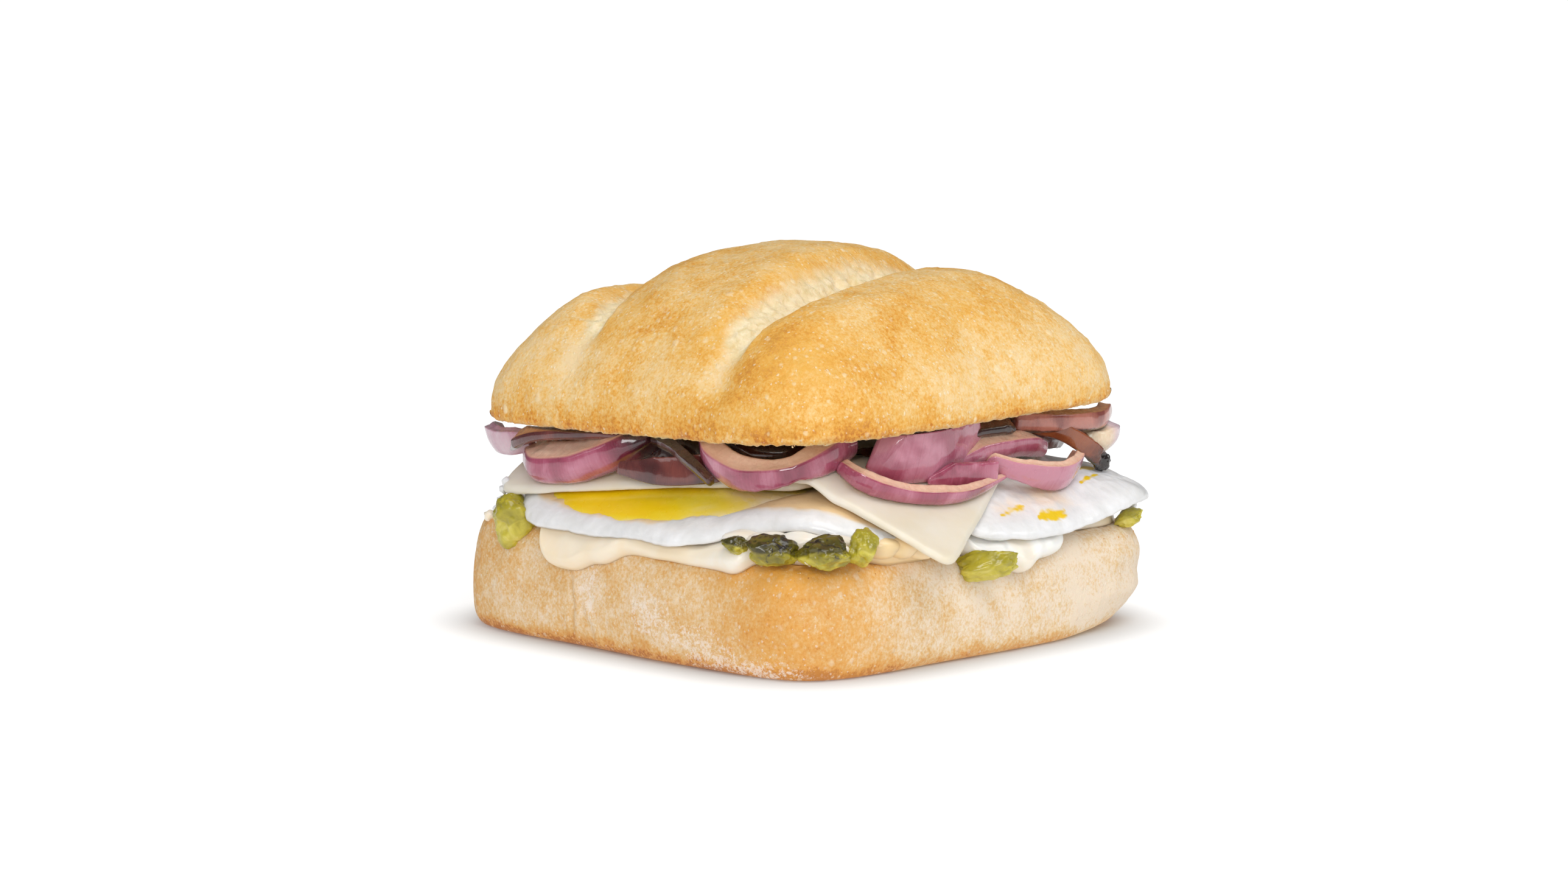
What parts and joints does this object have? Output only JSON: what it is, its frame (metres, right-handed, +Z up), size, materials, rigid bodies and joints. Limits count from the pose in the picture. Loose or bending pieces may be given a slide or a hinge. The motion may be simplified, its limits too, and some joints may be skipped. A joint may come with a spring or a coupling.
{
  "type": "breakfast sandwich",
  "caption": "Square scored bread roll filled with fried egg, cheese slices, browned red onion, green chile and creamy sauce.",
  "frame": {"origin": "middle of the roll's flat underside, on the surface that it stands on", "axes": "+Z up; +X and -Y point out of the two sides that the picture shows, and its near corner is at +X -Y"},
  "size_m": [0.1193, 0.113, 0.0802],
  "materials": {
    "crust": "matte baked crust with pale blisters",
    "base_crust": "matte baked crust with flour",
    "sauce": "soft satin cream",
    "white": "satin cooked egg white",
    "yolk": "glossy yolk",
    "cheese": "soft satin cheese",
    "purple": "glossy red onion, translucent",
    "brown": "glossy browned onion",
    "dark": "glossy dark caramelised onion",
    "amber": "glossy amber onion",
    "pale": "glossy pale onion",
    "green": "glossy green chile",
    "charred": "glossy chile with charred skin"
  },
  "bodies": {
    "root": {"cheese_1": "cheese", "cheese_2": "cheese", "chile_back": "charred", "chile_back_left": "green", "chile_back_right": "green", "chile_left": "green", "chile_near_bright": "green", "chile_near_dark": "charred", "chile_near_middle": "charred", "chile_near_scrap": "charred", "chile_right_corner": "green", "chile_right_face": "green", "egg_left": "white", "egg_right": "white", "onion_amber_strip": "amber", "onion_back_01": "purple", "onion_back_02": "purple", "onion_back_03": "brown", "onion_back_04": "purple", "onion_back_05": "purple", "onion_back_06": "brown", "onion_big_petal": "purple", "onion_brown_petal": "brown", "onion_dark_scraps": "dark", "onion_dark_strand": "dark", "onion_inner_arc": "dark", "onion_left_arc": "purple", "onion_left_filler": "brown", "onion_left_piece": "pale", "onion_left_strip": "dark", "onion_lilac_strip": "purple", "onion_long_arc": "purple", "onion_loop": "purple", "onion_pink_petal": "purple", "onion_right_filler": "brown", "onion_right_loop": "brown", "onion_right_piece": "pale", "onion_under_strip": "purple", "roll_bottom": "base_crust", "roll_top": "crust", "sauce": "sauce", "yolk_left": "yolk"}
  },
  "joints": []
}
